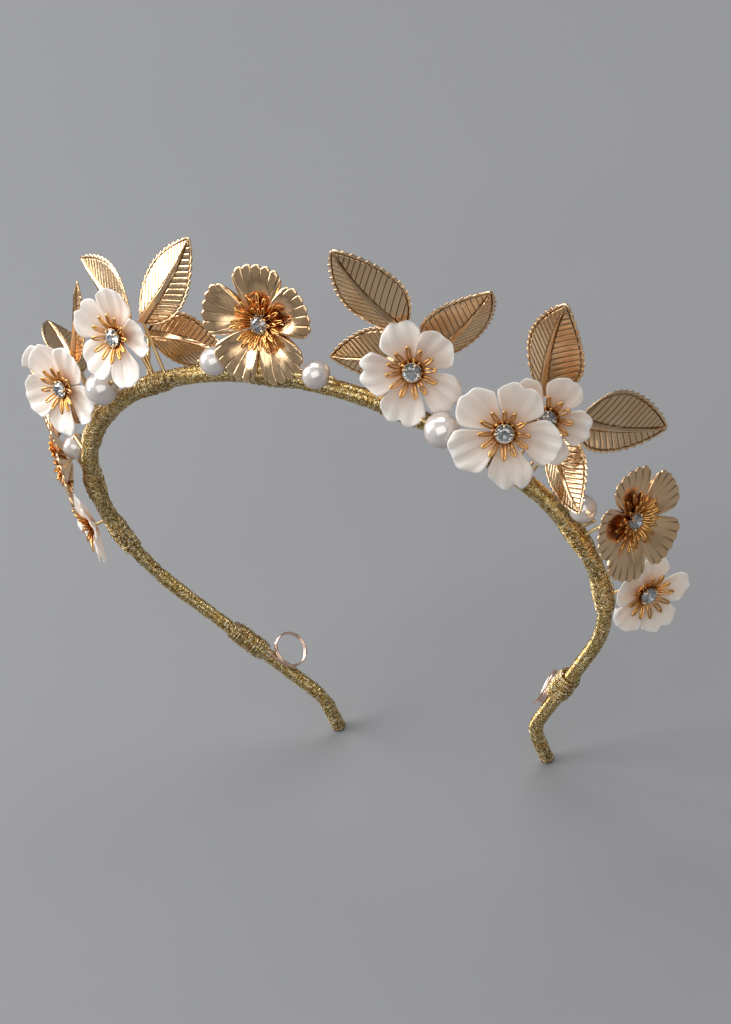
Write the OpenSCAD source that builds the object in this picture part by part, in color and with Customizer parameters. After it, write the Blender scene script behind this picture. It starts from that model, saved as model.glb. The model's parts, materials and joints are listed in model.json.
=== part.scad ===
// Bridal tiara: a thread-wrapped headband with wired flowers, leaves and pearls.
// The band stands in the XZ plane on its two tips, with its crown at the top.
// Millimetres. +Z is up, the ornaments face -Y, and left and right (-X and +X)
// are as seen from the front. The origin lies midway between the two tips.

/* [Band] */
// Radius of the centreline over the crown
crown_r = 78; // [74:1:84]
// Half angle of the crown arc
crown_angle = 40; // [36:1:44]
// Radius of the centreline over each shoulder
shoulder_r = 48; // [44:1:52]
// Turn of each shoulder arc, which ends where the leg runs in towards the head
shoulder_angle = 88; // [86:1:90]
// Straight length of each leg
leg_l = 40; // [34:1:46]
// Radius of the outward flare above each tip
flare_r = 12; // [10:1:14]
// Straight length of each tip
tip_l = 8; // [6:0.5:10]
// Diameter of the steel wire inside the band
core_d = 2.4; // [2:0.1:2.6]
// Diameter over the thread, where the ornaments are bound on
crown_wrap_d = 4; // [3.8:0.1:4.2]
// Diameter over the thread on the bare legs
leg_wrap_d = 3.4; // [3.2:0.1:3.6]

/* [Flowers] */
// Radius of a white flower
white_r = 11.4; // [11:0.2:11.6]
// Radius of the largest white flower
large_white_r = 12.2; // [11.8:0.2:12.4]
// Radius of a small white flower
small_white_r = 10; // [9.6:0.2:10.2]
// Radius of a gold flower
gold_r = 13.5; // [13:0.25:14]
// Thickness of a white petal
white_t = 0.9; // [0.8:0.1:1]
// Thickness of a stamped gold petal
gold_t = 0.5; // [0.4:0.1:0.6]
// Diameter of a crystal across its girdle
crystal_d = 3.8; // [3.4:0.1:4]

/* [Leaves] */
// Length of a leaf
leaf_l = 26; // [24:0.5:27]
// Greatest width of a leaf
leaf_w = 15; // [13:0.5:15.5]
// Thickness of the leaf metal
leaf_t = 0.5; // [0.4:0.1:0.6]

/* [Pearls] */
// Diameter of the large pearls
large_pearl_d = 8; // [7.5:0.25:8.25]
// Diameter of the small pearls
small_pearl_d = 6.5; // [6:0.25:6.75]
// Diameter of the wire that a pearl is threaded on
pearl_wire_d = 0.8; // [0.7:0.05:0.9]
// Gap between that wire and the wall of the drilled hole
pearl_gap = 0.05; // [0.03:0.01:0.08]

/* [Hairpin loops] */
// Radius of a loop, to the middle of its wire
loop_r = 4.2; // [4.1:0.05:4.3]
// Diameter of the loop wire
loop_wire_d = 0.6; // [0.5:0.05:0.65]

/* [Hidden] */
$fn = 48;
fit_gap = 0.02;
core_r = core_d / 2;
crown_wrap_r = crown_wrap_d / 2;
leg_wrap_r = leg_wrap_d / 2;
layer = 0.02;
wrap_bore_r = core_r + fit_gap;
stem_d = 0.8;
stem_r = stem_d / 2;
joint_r = stem_r + 0.06;

// The band turns through these headings, counted from level at the crown
shoulder_end = crown_angle + shoulder_angle;
flare_angle = shoulder_end - 90;
wrap_end = 104;

// Places on the right half of the centreline
band_h = crown_r * (1 - cos(crown_angle))
    + shoulder_r * (cos(crown_angle) - cos(shoulder_end))
    + leg_l * sin(shoulder_end)
    - flare_r * cos(shoulder_end)
    + tip_l;
crown_c = [0, 0, band_h - crown_r];
shoulder_c = crown_c + (crown_r - shoulder_r) * [sin(crown_angle), 0, cos(crown_angle)];
leg_dir = [cos(shoulder_end), 0, -sin(shoulder_end)];
leg_in = [-sin(shoulder_end), 0, -cos(shoulder_end)];
leg_top = shoulder_c + shoulder_r * [sin(shoulder_end), 0, cos(shoulder_end)];
leg_bottom = leg_top + leg_l * leg_dir;
flare_c = leg_bottom - flare_r * leg_in;
tip_x = flare_c.x - flare_r;

// Point of the centreline at an angle from the crown, and that angle's frame
function arc_centre(t) = abs(t) <= crown_angle ? crown_c : [sign(t) * shoulder_c.x, 0, shoulder_c.z];
function arc_radius(t) = abs(t) <= crown_angle ? crown_r : shoulder_r;
function on_band_point(t) = arc_centre(t) + arc_radius(t) * [sin(t), 0, cos(t)];

// Ornament tables. Each place is an angle along the band from its crown, then the
// distance outwards from the centreline, then the distance back (+Y) from it.
// A flower then has its tilt (0 faces forward, 90 faces outward), its turn about the
// outward direction, its spin about its own axis and the foot of its stem.
NAME = 0;
RADIUS = 1;
ANGLE = 2;
OUT = 3;
BACK = 4;
TILT = 5;
TURN = 6;
SPIN = 7;
FOOT = 8;
WHITE_FLOWERS = [
    ["left_white_flower_1", white_r, -23.4, 14, 2, 32, 5, -15, 1],
    ["left_white_flower_2", white_r, -41.4, 11, 0, 30, 8, 11, 0],
    ["left_white_flower_3", small_white_r, -52.4, 14.4, 6.8, 36, -2, 10, 1],
    ["left_white_flower_4", small_white_r, -100, 10.5, 3, 40, 14, 10, 0],
    ["right_white_flower_1", white_r, 25.8, 10, 4.2, 39, 12, -20, -1],
    ["right_white_flower_2", large_white_r, 41.9, 12.9, -1.2, 40, 0, 22, 0],
    ["right_white_flower_3", small_white_r, 48.4, 11.4, 9.2, 40, 2, 20, 1],
    ["right_white_flower_4", small_white_r, 99.8, 8.6, 3, 56, -13, 15, 0],
];
GOLD_FLOWERS = [
    ["left_gold_flower", gold_r, -77.8, 9, 5, 50, 0, 10, 0],
    ["centre_gold_flower", 1.04 * gold_r, 2.8, 13, 4, 30, 0, 20, 0],
    ["right_gold_flower", gold_r, 77, 12, 4.5, 68, 30, -10, 0],
];
// A leaf has its size, the place of its base, its aim in the band's plane (0 along the
// band to the right, 90 outward), its lean back from that plane and its roll.
SIZE = 1;
AIM = 5;
LEAN = 6;
ROLL = 7;
LEAVES = [
    ["left_leaf_1", 0.96, -20.2, 13.6, 5.5, 30, 24, -38],
    ["left_leaf_2", 0.92, -24.4, 7.6, 9.2, -22, -12, -20],
    ["left_leaf_3", 1, -23, 13.2, 6.2, 144, 34, 12],
    ["left_leaf_4", 0.85, -43.4, 12.6, 8.5, 32, 15, -50],
    ["left_leaf_5", 0.78, -42.3, 10.4, 5.2, 128, 40, -50],
    ["left_leaf_6", 0.75, -52.3, 5, 9, 175, 5, 0],
    ["right_leaf_1", 1, 22.6, 15, 9.4, 130, -7, 15],
    ["right_leaf_2", 0.86, 25.4, 10, 8, -152, -5, 20],
    ["right_leaf_3", 1, 26.4, 7.2, 10.4, 65, 10, 30],
    ["right_leaf_4", 1, 46.4, 7, 17, 113, 8, -14],
    ["right_leaf_5", 1.05, 54, 14.2, 11, -7, 37, -45],
    ["right_leaf_6", 0.84, 53.2, 3.2, 12.8, 27, -54, -30],
];
PEARLS = [
    ["left_pearl_1", small_pearl_d / 2, -6.4, 5.5, -1.8],
    ["left_pearl_2", large_pearl_d / 2, -32, 6.2, -3],
    ["left_pearl_3", small_pearl_d / 2, -68, 5.2, 2.5],
    ["right_pearl_1", small_pearl_d / 2, 11.9, 5.5, -1.8],
    ["right_pearl_2", large_pearl_d / 2, 33.4, 5.8, -4.2],
    ["right_pearl_3", small_pearl_d / 2, 69.3, 5.6, 1.4],
];
STAMENS = [for (f = concat(WHITE_FLOWERS, GOLD_FLOWERS)) str(f[NAME], "_stamens")];

// ---- Placing ----

module on_band(t) {
    translate(on_band_point(t)) rotate([0, t, 0]) children();
}

module on_flower(f) {
    on_band(f[ANGLE]) translate([0, f[BACK], f[OUT]]) rotate([90 - f[TILT], 0, f[TURN]]) children();
}

module both_sides() {
    children();
    mirror([1, 0, 0]) children();
}

// Frame on the right leg at a distance along it: X down the leg, Z in towards the head
module on_leg(along) {
    translate(leg_top + along * leg_dir) rotate([0, shoulder_end, 0]) mirror([0, 0, 1]) children();
}

// A round wire from one point to another
module wire(from, to, r) {
    d = to - from;
    translate(from)
        rotate([0, acos(d.z / norm(d)), atan2(d.y, d.x)])
            cylinder(h = norm(d), r = r);
}

// ---- Band ----

// A stretch of ring section along an arc of the XZ plane, between two headings
module arc_tube(centre, r, from, to, outer, inner) {
    translate(centre)
        rotate([90, 0, 0])
            rotate([0, 0, 90 - to])
                rotate_extrude(angle = to - from, $fn = 180)
                    translate([r, 0])
                        ring_section(outer, inner);
}

module ring_section(outer, inner) {
    difference() {
        circle(outer);
        if (inner > 0) circle(inner);
    }
}

module straight_tube(length, outer, inner) {
    linear_extrude(length) ring_section(outer, inner);
}

// One leg below a heading on the shoulder: shoulder arc, straight leg, flare and tip.
// Every second stretch is thinner by one layer, so that no two round faces run on.
module leg_tube(from, outer, inner) {
    inset = inner > 0 ? inner + layer : 0;
    arc_tube(shoulder_c, shoulder_r, from, shoulder_end, outer - layer, inset);
    translate(leg_top) rotate([0, 90 + shoulder_end, 0]) straight_tube(leg_l, outer, inner);
    translate(flare_c)
        rotate([90, 0, 0])
            rotate([0, 0, 180])
                mirror([0, 1, 0])
                    rotate_extrude(angle = flare_angle, $fn = 180)
                        translate([flare_r, 0])
                            ring_section(outer - layer, inset);
    translate([tip_x, 0, 0]) straight_tube(tip_l, outer, inner);
}

module band_core() {
    color("silver") {
        arc_tube(crown_c, crown_r, -crown_angle, crown_angle, core_r, 0);
        both_sides() leg_tube(crown_angle, core_r, 0);
    }
}

module crown_wrap() {
    color("goldenrod") {
        arc_tube(crown_c, crown_r, -crown_angle, crown_angle, crown_wrap_r, wrap_bore_r);
        both_sides()
            arc_tube(shoulder_c, shoulder_r, crown_angle, wrap_end, crown_wrap_r - layer, wrap_bore_r + layer);
    }
}

module right_leg_wrap() {
    color("darkgoldenrod") leg_tube(wrap_end, leg_wrap_r, wrap_bore_r);
}

module left_leg_wrap() {
    mirror([1, 0, 0]) right_leg_wrap();
}

// Thread wound over the feet of the stems, in short sleeves round the crown wrap
binding_r = crown_wrap_r + 0.35;
binding_angle = 3;
module stem_bindings() {
    color("gold")
        for (f = concat(WHITE_FLOWERS, GOLD_FLOWERS))
            let (t = f[ANGLE])
                translate(arc_centre(t))
                    rotate([90, 0, 0])
                        rotate([0, 0, 90 - t - binding_angle * crown_r / arc_radius(t) / 2])
                            rotate_extrude(angle = binding_angle * crown_r / arc_radius(t), $fn = 180)
                                translate([arc_radius(t), 0])
                                    ring_section(binding_r, crown_wrap_r + fit_gap);
}

// ---- Hairpin loops ----

loop_at = 30;
loop_turns = 2;
loop_pitch = loop_wire_d + 0.08;
loop_back = 3.7;
tail_l = 15;
tail_end = 3;
loop_steps = 14;
loop_sides = 6;
loop_low = leg_wrap_r + loop_wire_d / 2 + 0.05;
// The wire comes down along the leg, makes its turns and ends just below them
LOOP_PATH = concat(
    [[-tail_l, loop_back - loop_r, loop_low]],
    [for (i = [0 : loop_turns * loop_steps])
        let (a = 360 * i / loop_steps)
            [loop_r * sin(a), loop_back - loop_r * cos(a), loop_low + loop_pitch * a / 360]],
    [[tail_end, loop_back - loop_r, loop_low + loop_pitch * loop_turns]]
);

function unit(v) = v / norm(v);
function path_dir(path, i) = unit(path[min(i + 1, len(path) - 1)] - path[max(i - 1, 0)]);

// A closed tube of flat sides along a path whose turns lie round the Z axis
module swept_wire(path, r, sides) {
    last = len(path) - 1;
    points = [for (i = [0 : last])
        let (d = path_dir(path, i), side = unit(cross(d, [0, 0, 1])), up = cross(side, d))
            for (k = [0 : sides - 1])
                let (a = 360 * k / sides)
                    path[i] + r * (cos(a) * side + sin(a) * up)];
    walls = [for (i = [0 : last - 1], k = [0 : sides - 1])
        let (n = (k + 1) % sides)
            [i * sides + k, i * sides + n, (i + 1) * sides + n, (i + 1) * sides + k]];
    start_cap = [for (k = [sides - 1 : -1 : 0]) k];
    end_cap = [for (k = [0 : sides - 1]) last * sides + k];
    polyhedron(points, concat(walls, [start_cap, end_cap]), convexity = 4);
}

module right_hairpin_loop() {
    color("rosybrown") on_leg(loop_at) swept_wire(LOOP_PATH, loop_wire_d / 2, loop_sides);
}

module left_hairpin_loop() {
    mirror([1, 0, 0]) right_hairpin_loop();
}

loop_binding_r = leg_wrap_r + loop_wire_d + 0.35;
loop_binding_l = 10.5;
module right_loop_binding() {
    color("gold")
        translate(leg_top + (loop_at - tail_l) * leg_dir)
            rotate([0, 90 + shoulder_end, 0])
                straight_tube(loop_binding_l, loop_binding_r, leg_wrap_r + fit_gap);
}

module left_loop_binding() {
    mirror([1, 0, 0]) right_loop_binding();
}

// ---- Flowers ----

hole_r = stem_r + 0.2;
petal_count = 5;
petal_turn = 360 / petal_count;

// How far an angle lies from the middle of its petal, from 0 to 1 at the gap
function from_petal_middle(a) = abs(((a + petal_turn / 2) % petal_turn) / (petal_turn / 2) - 1);
function white_outline(a, r) = r * (1 - 0.5 * pow(from_petal_middle(a), 4));
function gold_outline(a, r) = r * (1 - 0.55 * pow(from_petal_middle(a), 6));
function white_height(s, r) = 0.16 * r * pow(s, 2) + 0.1 * r * s;
function gold_height(s, r) = 0.34 * r * pow(s, 1.6) - 0.08 * r * pow(s, 4);

// A thin flower with a round hole: rings of points from the hole out to the outline
module flower_plate(r, thick, gold, steps, rings) {
    top = [for (i = [0 : rings], j = [0 : steps - 1])
        let (a = 360 * j / steps, s = i / rings)
            let (edge = gold ? gold_outline(a, r) : white_outline(a, r))
                let (d = hole_r + (edge - hole_r) * s)
                    [d * cos(a), d * sin(a), gold ? gold_height(d / r, r) : white_height(d / r, r)]];
    count = len(top);
    points = concat([for (p = top) p + [0, 0, thick / 2]], [for (p = top) p - [0, 0, thick / 2]]);
    cells = [for (i = [0 : rings - 1], j = [0 : steps - 1])
        [i * steps + j, i * steps + (j + 1) % steps, (i + 1) * steps + j, (i + 1) * steps + (j + 1) % steps]];
    upper = [for (c = cells) each [[c[0], c[1], c[3]], [c[0], c[3], c[2]]]];
    lower = [for (t = upper) [t[2] + count, t[1] + count, t[0] + count]];
    outer = [for (j = [0 : steps - 1])
        let (a = rings * steps + j, b = rings * steps + (j + 1) % steps)
            each [[a, b, b + count], [a, b + count, a + count]]];
    inner = [for (j = [0 : steps - 1])
        let (a = j, b = (j + 1) % steps)
            each [[b, a, a + count], [b, a + count, b + count]]];
    polyhedron(points, concat(upper, lower, outer, inner), convexity = 6);
}

module white_flower(f) {
    color("linen")
        on_flower(f) rotate([0, 0, f[SPIN]]) flower_plate(f[RADIUS], white_t, false, 50, 3);
}

module gold_flower(f) {
    color("burlywood")
        on_flower(f) rotate([0, 0, f[SPIN]]) flower_plate(f[RADIUS], gold_t, true, 60, 3);
}

// A pressed ring of narrow arms that stand up round the crystal
stamen_base_r = 2.9;
stamen_t = 0.25;
stamen_seat = 1.05;
module stamens(f, arms, reach, rise) {
    color("peru")
        on_flower(f)
            translate([0, 0, stamen_seat]) {
                difference() {
                    cylinder(h = stamen_t, r = stamen_base_r);
                    translate([0, 0, -1]) cylinder(h = 2, r = hole_r);
                }
                for (i = [0 : arms - 1])
                    rotate([0, 0, 360 * (i + 0.5) / arms])
                        translate([stamen_base_r - 0.15, 0, 0])
                            rotate([0, -rise, 0])
                                translate([0, -stamen_w / 2, 0])
                                    cube([reach - stamen_base_r, stamen_w, stamen_t]);
            }
}
stamen_w = 0.6;

module white_stamens(f) {
    stamens(f, 12, 5.6, 32);
}

module gold_stamens(f) {
    stamens(f, 16, 7, 40);
}

// The cup that holds a crystal: a plate, a wall and four claws
setting_seat = stamen_seat + stamen_t + 0.05;
setting_wall = 0.3;
setting_r = crystal_d / 2 + 0.05 + setting_wall;
setting_h = 1.1;
claw_r = 0.3;
claw_h = 1.5;
module crystal_setting() {
    cylinder(h = 0.3, r = setting_r);
    difference() {
        cylinder(h = setting_h, r = setting_r);
        translate([0, 0, 0.2]) cylinder(h = setting_h, r = setting_r - setting_wall);
    }
    for (a = [45 : 90 : 315])
        rotate([0, 0, a])
            translate([setting_r, 0, 0])
                cylinder(h = claw_h, r = claw_r);
}

module crystal_settings() {
    color("goldenrod")
        for (f = concat(WHITE_FLOWERS, GOLD_FLOWERS))
            on_flower(f) translate([0, 0, setting_seat]) crystal_setting();
}

// A faceted crystal: pavilion, girdle and crown
pavilion_h = 0.75;
crystal_crown_h = 0.6;
crystal_facets = 8;
module crystals() {
    color("white")
        for (f = concat(WHITE_FLOWERS, GOLD_FLOWERS))
            on_flower(f)
                translate([0, 0, setting_seat + 0.35]) {
                    cylinder(h = pavilion_h, r1 = 0.9, r2 = crystal_d / 2, $fn = crystal_facets);
                    translate([0, 0, pavilion_h])
                        cylinder(h = crystal_crown_h, r1 = crystal_d / 2, r2 = 1.1, $fn = crystal_facets);
                }
}

// ---- Leaves ----

leaf_rows = 10;
leaf_columns = 4;
function leaf_half_width(s) = leaf_w / 2 * pow(sin(180 * pow(s, 0.85)), 0.8) * (1 - 0.12 * s) + 0.25;
function leaf_height(s, v) = -1.1 * abs(v) * sin(180 * s) - 1.6 * pow(s, 2);

// A leaf from its base at the origin to its tip on +X, folded a little along its midrib
module leaf_plate(scale_by) {
    row = leaf_columns + 1;
    top = [for (i = [0 : leaf_rows], j = [0 : leaf_columns])
        let (s = i / leaf_rows, v = 2 * j / leaf_columns - 1)
            scale_by * [leaf_l * s, v * leaf_half_width(s), leaf_height(s, v)]];
    count = len(top);
    points = concat([for (p = top) p + [0, 0, leaf_t / 2]], [for (p = top) p - [0, 0, leaf_t / 2]]);
    upper = [for (i = [0 : leaf_rows - 1], j = [0 : leaf_columns - 1])
        let (a = i * row + j)
            each [[a, a + 1, a + row + 1], [a, a + row + 1, a + row]]];
    lower = [for (t = upper) [t[2] + count, t[1] + count, t[0] + count]];
    last = leaf_rows * row;
    rim = concat(
        [for (i = [0 : leaf_rows]) i * row],
        [for (j = [1 : leaf_columns]) last + j],
        [for (i = [leaf_rows - 1 : -1 : 0]) i * row + leaf_columns],
        [for (j = [leaf_columns - 1 : -1 : 1]) j]
    );
    wall = [for (k = [0 : len(rim) - 1])
        let (a = rim[k], b = rim[(k + 1) % len(rim)])
            each [[b, a, a + count], [b, a + count, b + count]]];
    polyhedron(points, concat(upper, lower, [for (t = wall) [t[2], t[1], t[0]]]), convexity = 6);
}

module leaf(l) {
    color("tan")
        on_band(l[ANGLE])
            translate([0, l[BACK], l[OUT]])
                rotate([90, 0, 0])
                    rotate([0, 0, l[AIM]])
                        rotate([0, l[LEAN], 0])
                            rotate([l[ROLL], 0, 0])
                                leaf_plate(l[SIZE]);
}

// ---- Stems and wires ----

stem_back = 3;
foot_r = 1.75;
function facing(f) = [cos(f[TILT]) * sin(f[TURN]), -cos(f[TILT]) * cos(f[TURN]), sin(f[TILT])];
function seat(f) = [0, f[BACK], f[OUT]];

module flower_stems() {
    color("goldenrod")
        for (f = concat(WHITE_FLOWERS, GOLD_FLOWERS))
            on_band(f[ANGLE]) {
                n = facing(f);
                bend = seat(f) - stem_back * n;
                wire(bend, seat(f) + (setting_seat - 0.02) * n, stem_r);
                translate(bend) sphere(joint_r);
                wire(bend, [f[FOOT], 0, foot_r], stem_r);
            }
}

// A leaf's stem meets the back of its base and runs down to the band beside it
module leaf_stems() {
    color("goldenrod")
        for (l = LEAVES)
            on_band(l[ANGLE]) {
                base = [0, l[BACK] + leaf_t, l[OUT]];
                foot = [0, 0.6, foot_r];
                wire(base, foot, stem_r);
                translate(base) sphere(joint_r);
            }
}

module pearl_wires() {
    color("goldenrod")
        for (p = PEARLS)
            on_band(p[ANGLE]) {
                reach = p[RADIUS] + 0.9;
                for (side = [-1, 1]) {
                    wire([0, p[BACK], p[OUT]], [side * reach, p[BACK], p[OUT]], pearl_wire_d / 2);
                    translate([side * reach, p[BACK], p[OUT]]) sphere(pearl_wire_d / 2 + 0.06);
                    wire([side * reach, p[BACK], p[OUT]], [side * reach, 0, foot_r], pearl_wire_d / 2);
                }
            }
}

// ---- Pearls ----

module pearl(p) {
    color("ivory")
        on_band(p[ANGLE])
            translate([0, p[BACK], p[OUT]])
                rotate([0, 90, 0])
                    difference() {
                        sphere(p[RADIUS], $fn = 96);
                        cylinder(h = 3 * p[RADIUS], r = pearl_wire_d / 2 + pearl_gap, center = true);
                    }
}

// ---- Nodes ----

band_core();
crown_wrap();
left_leg_wrap();
right_leg_wrap();
stem_bindings();
left_loop_binding();
right_loop_binding();
left_hairpin_loop();
right_hairpin_loop();
crystals();
crystal_settings();
flower_stems();
leaf_stems();
pearl_wires();
for (f = WHITE_FLOWERS) white_flower(f);
for (f = GOLD_FLOWERS) gold_flower(f);
for (f = WHITE_FLOWERS) white_stamens(f);
for (f = GOLD_FLOWERS) gold_stamens(f);
for (l = LEAVES) leaf(l);
for (p = PEARLS) pearl(p);
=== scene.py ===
import json
from math import atan2, cos, pi, radians, sin, sqrt

import bmesh
import bpy
import numpy as np
from mathutils import Matrix, Vector


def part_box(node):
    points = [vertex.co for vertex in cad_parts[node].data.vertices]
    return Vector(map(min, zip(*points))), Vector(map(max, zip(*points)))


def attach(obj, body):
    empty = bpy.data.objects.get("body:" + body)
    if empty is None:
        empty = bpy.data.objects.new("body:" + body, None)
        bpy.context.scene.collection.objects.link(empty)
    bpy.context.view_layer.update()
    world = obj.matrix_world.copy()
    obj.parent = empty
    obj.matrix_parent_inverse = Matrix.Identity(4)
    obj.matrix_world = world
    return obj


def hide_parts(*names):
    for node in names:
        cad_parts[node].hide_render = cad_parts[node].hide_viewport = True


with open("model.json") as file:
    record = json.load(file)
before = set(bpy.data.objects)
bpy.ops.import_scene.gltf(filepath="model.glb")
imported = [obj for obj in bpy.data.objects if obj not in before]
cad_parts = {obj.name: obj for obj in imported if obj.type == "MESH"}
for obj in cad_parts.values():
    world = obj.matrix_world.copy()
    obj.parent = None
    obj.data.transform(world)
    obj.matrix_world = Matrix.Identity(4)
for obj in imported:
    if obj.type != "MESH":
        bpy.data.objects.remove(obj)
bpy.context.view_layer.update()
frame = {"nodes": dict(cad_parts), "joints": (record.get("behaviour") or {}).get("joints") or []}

MM = 0.001  # meshes are worked out in mm and stored in metres
UP = np.array([0.0, 0.0, 1.0])
BACK = np.array([0.0, 1.0, 0.0])
WHITE_FLOWERS = sorted(n for n in frame["nodes"] if "white_flower" in n and "stamens" not in n)
GOLD_FLOWERS = sorted(n for n in frame["nodes"] if "gold_flower" in n and "stamens" not in n)
LEAVES = sorted(n for n in frame["nodes"] if "_leaf_" in n)
FLOWERS = WHITE_FLOWERS + GOLD_FLOWERS
PETALS = 5


# ---------------------------------------------------------------- small tools

def unit(v):
    """The vector at length 1."""
    return v / np.linalg.norm(v)


def rot(axis, degrees):
    """A 3 by 3 turn about an axis."""
    return np.array(Matrix.Rotation(radians(degrees), 3, Vector(axis)))


def node_points(name):
    """The distinct vertices of a CAD node, in mm."""
    mesh = frame["nodes"][name].data
    co = np.empty(len(mesh.vertices) * 3, np.float32)
    mesh.vertices.foreach_get("co", co)
    return np.unique(np.round(co.reshape(-1, 3) / MM, 3), axis=0)


def principal_axes(points):
    """Middle of the points and their axes, from the widest spread to the narrowest."""
    middle = points.mean(0)
    spread, axes = np.linalg.eigh(np.cov((points - middle).T))
    return middle, axes.T[np.argsort(-spread)]


class Place:
    """A frame in mm: an origin and three axes as rows. out() takes points from it to the world."""

    def __init__(self, origin, x, y, z):
        self.origin = np.asarray(origin, float)
        self.axes = np.array([x, y, z])

    def out(self, points):
        return np.asarray(points, float) @ self.axes + self.origin


def flower_place(name):
    """Origin in the middle of the hole, Z the way it faces, X along its uppermost petal; and its radius.

    The dish opens the way the flower faces, so height grows with the distance from the middle."""
    points = node_points(name)
    middle, axes = principal_axes(points)
    z = axes[2]
    height = (points - middle) @ z
    flat = (points - middle) - np.outer(height, z)
    radius = np.linalg.norm(flat, axis=1)
    if np.corrcoef(height, radius ** 2)[0, 1] < 0:
        z = -z
    inner = points[radius < radius.min() + 0.02]
    x = axes[0]
    y = np.cross(z, x)
    angle = np.arctan2(flat @ y, flat @ x)
    outermost = (radius / radius.max()) ** 12
    phase = np.angle(np.sum(outermost * np.exp(1j * PETALS * angle))) / PETALS
    turns = [phase + k * 2 * pi / PETALS for k in range(PETALS)]
    x = max([cos(t) * x + sin(t) * y for t in turns], key=lambda p: p[2] + 0.1 * p[0])
    return Place(inner.mean(0), x, np.cross(z, x), z), radius.max()


def leaf_place(name):
    """Origin at the leaf's base, X to its tip, Z out of its face; its length and half width.

    A leaf is widest nearer its base, and its midrib stands above its two sides."""
    points = node_points(name)
    middle, (x, y, z) = principal_axes(points)
    along = (points - middle) @ x
    across = (points - middle) @ y
    widest = along[np.argsort(-abs(across))[:4]].mean()
    if widest > (along.max() + along.min()) / 2:
        x, along = -x, -along
    order = np.argsort(along)
    base, tip = points[order[:10]].mean(0), points[order[-10:]].mean(0)
    height = (points - middle) @ z
    centre_line = abs(across) < 0.3 * abs(across).max()
    if height[centre_line].mean() < height[~centre_line].mean():
        z = -z
    x = unit(tip - base)
    y = unit(np.cross(z, x))
    return Place(base, x, y, np.cross(x, y)), np.linalg.norm(tip - base), abs(across).max()


def mesh_piece(name, points, faces, material, slot, body="tiara", replaces=(), smooth=True, values=None):
    """A mesh in mm as a finished piece: shaded, riding on a body, and standing for its CAD nodes.

    values holds float attributes, one number per point, that the materials read."""
    mesh = bpy.data.meshes.new(name)
    mesh.from_pydata((np.asarray(points) * MM).tolist(), [], faces)
    mesh.update()
    if smooth:
        mesh.polygons.foreach_set("use_smooth", [True] * len(mesh.polygons))
    for key, data in (values or {}).items():
        mesh.attributes.new(key, "FLOAT", "POINT").data.foreach_set("value", np.asarray(data, np.float32))
    mesh.materials.append(material)
    piece = bpy.data.objects.new(name, mesh)
    bpy.context.scene.collection.objects.link(piece)
    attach(piece, body)
    if replaces:
        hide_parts(*replaces)
    return piece


class Build:
    """Collects several closed shapes into one mesh, with point values beside them."""

    def __init__(self):
        self.points, self.faces, self.count, self.values = [], [], 0, {}

    def add(self, points, faces, **values):
        points = np.asarray(points, float)
        self.points.append(points)
        self.faces += [tuple(i + self.count for i in f) for f in faces]
        self.count += len(points)
        for key, data in values.items():
            self.values.setdefault(key, []).append(np.broadcast_to(data, len(points)))

    def piece(self, name, material, slot, **options):
        values = {k: np.concatenate(v) for k, v in self.values.items()}
        points = np.concatenate(self.points)
        return mesh_piece(name, points, self.faces, material, slot, values=values, **options)


def sheet_faces(rows, columns):
    """Faces of a grid of points and of a second grid under it, joined round the edge."""
    under = rows * columns
    faces = []
    for i in range(rows - 1):
        for j in range(columns - 1):
            a, b = i * columns + j, (i + 1) * columns + j
            faces.append((a, b, b + 1, a + 1))
            faces.append((under + a + 1, under + b + 1, under + b, under + a))
    rim = [i * columns for i in range(rows)]
    rim += [(rows - 1) * columns + j for j in range(1, columns)]
    rim += [i * columns + columns - 1 for i in range(rows - 2, -1, -1)]
    rim += [j for j in range(columns - 2, 0, -1)]
    for a, b in zip(rim, rim[1:] + rim[:1]):
        faces.append((b, a, under + a, under + b))
    return faces


def sweep(path, radius, sides=8, closed=False):
    """A tube along a path. radius is a number or one per point. A closed path is joined without a twist."""
    path = np.asarray(path, float)
    count = len(path)
    if closed:
        ahead = np.roll(path, -1, 0) - np.roll(path, 1, 0)
    else:
        ahead = np.gradient(path, axis=0)
    ahead /= np.linalg.norm(ahead, axis=1)[:, None]
    side = np.cross(ahead[0], UP if abs(ahead[0][2]) < 0.9 else BACK)
    sides_out, ups = [], []
    for d in ahead:
        side = unit(side - (side @ d) * d)
        sides_out.append(side)
        ups.append(np.cross(d, side))
    sides_out, ups = np.array(sides_out), np.array(ups)
    if closed:
        twist = atan2(sides_out[-1] @ np.cross(ahead[0], sides_out[0]), sides_out[-1] @ sides_out[0])
        t = np.linspace(0, -twist, count)[:, None]
        turned = np.cos(t) * sides_out + np.sin(t) * ups
        sides_out, ups = turned, -np.sin(t) * sides_out + np.cos(t) * ups
    radius = np.broadcast_to(radius, count)[:, None, None]
    a = np.arange(sides) * 2 * pi / sides
    ring = np.cos(a)[None, :, None] * sides_out[:, None, :] + np.sin(a)[None, :, None] * ups[:, None, :]
    points = (path[:, None, :] + radius * ring).reshape(-1, 3)
    faces = []
    for i in range(count if closed else count - 1):
        n = (i + 1) % count
        for k in range(sides):
            m = (k + 1) % sides
            faces.append((i * sides + k, n * sides + k, n * sides + m, i * sides + m))
    if not closed:
        faces.append(tuple(range(sides)))
        faces.append(tuple((count - 1) * sides + k for k in range(sides - 1, -1, -1)))
    return points, faces


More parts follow.
